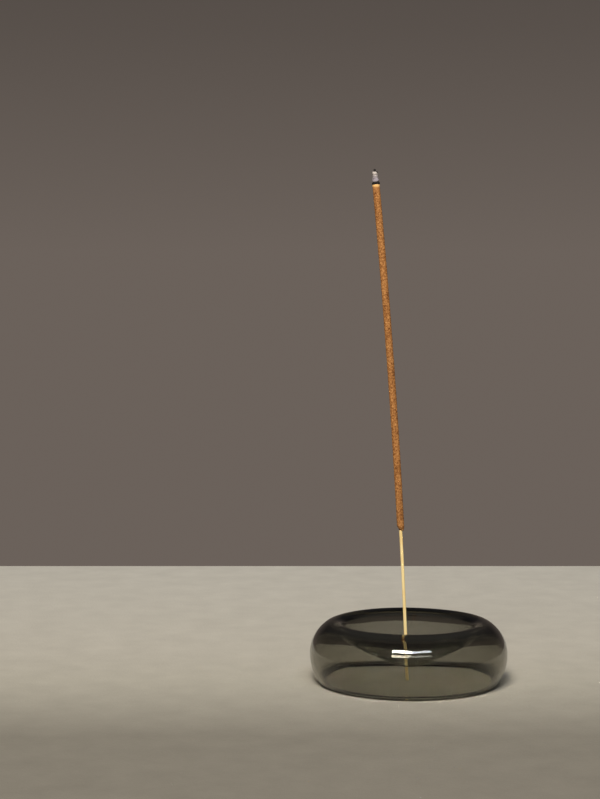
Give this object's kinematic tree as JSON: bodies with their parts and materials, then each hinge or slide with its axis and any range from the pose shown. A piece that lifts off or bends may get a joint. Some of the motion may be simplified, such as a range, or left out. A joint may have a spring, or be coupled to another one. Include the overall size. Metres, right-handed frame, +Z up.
{
  "type": "incense burner",
  "caption": "Low round smoked-glass incense burner, open underneath, with a sunken funnel whose small hole holds a leaning lit incense stick that lifts out.",
  "frame": {"origin": "on the resting plane, where the vessel's axis meets it, in the middle of the open underside", "axes": "+Z up along the vessel's axis, -X the way the stick leans, -Y towards the viewer"},
  "size_m": [0.0862, 0.0862, 0.2224],
  "materials": {
    "smoked_glass": "glossy, fire-polished",
    "bamboo": "split bamboo, fine long fibres, unvarnished",
    "incense_paste": "dry pressed wood powder, grainy, matte",
    "char": "charred, matte",
    "ash": "powdery, cracked, matte"
  },
  "bodies": {
    "vessel": {"glass_vessel": "smoked_glass"},
    "stick": {"bamboo_core": "bamboo", "incense_coating": "incense_paste", "char_band": "char", "ash_column": "ash", "charred_core": "char"}
  },
  "joints": [
    {"name": "stick_lift", "type": "slide", "parent": "vessel", "child": "stick", "axis": [-0.0384, 0, 0.9993], "range_m": [0, 0.04]}
  ]
}
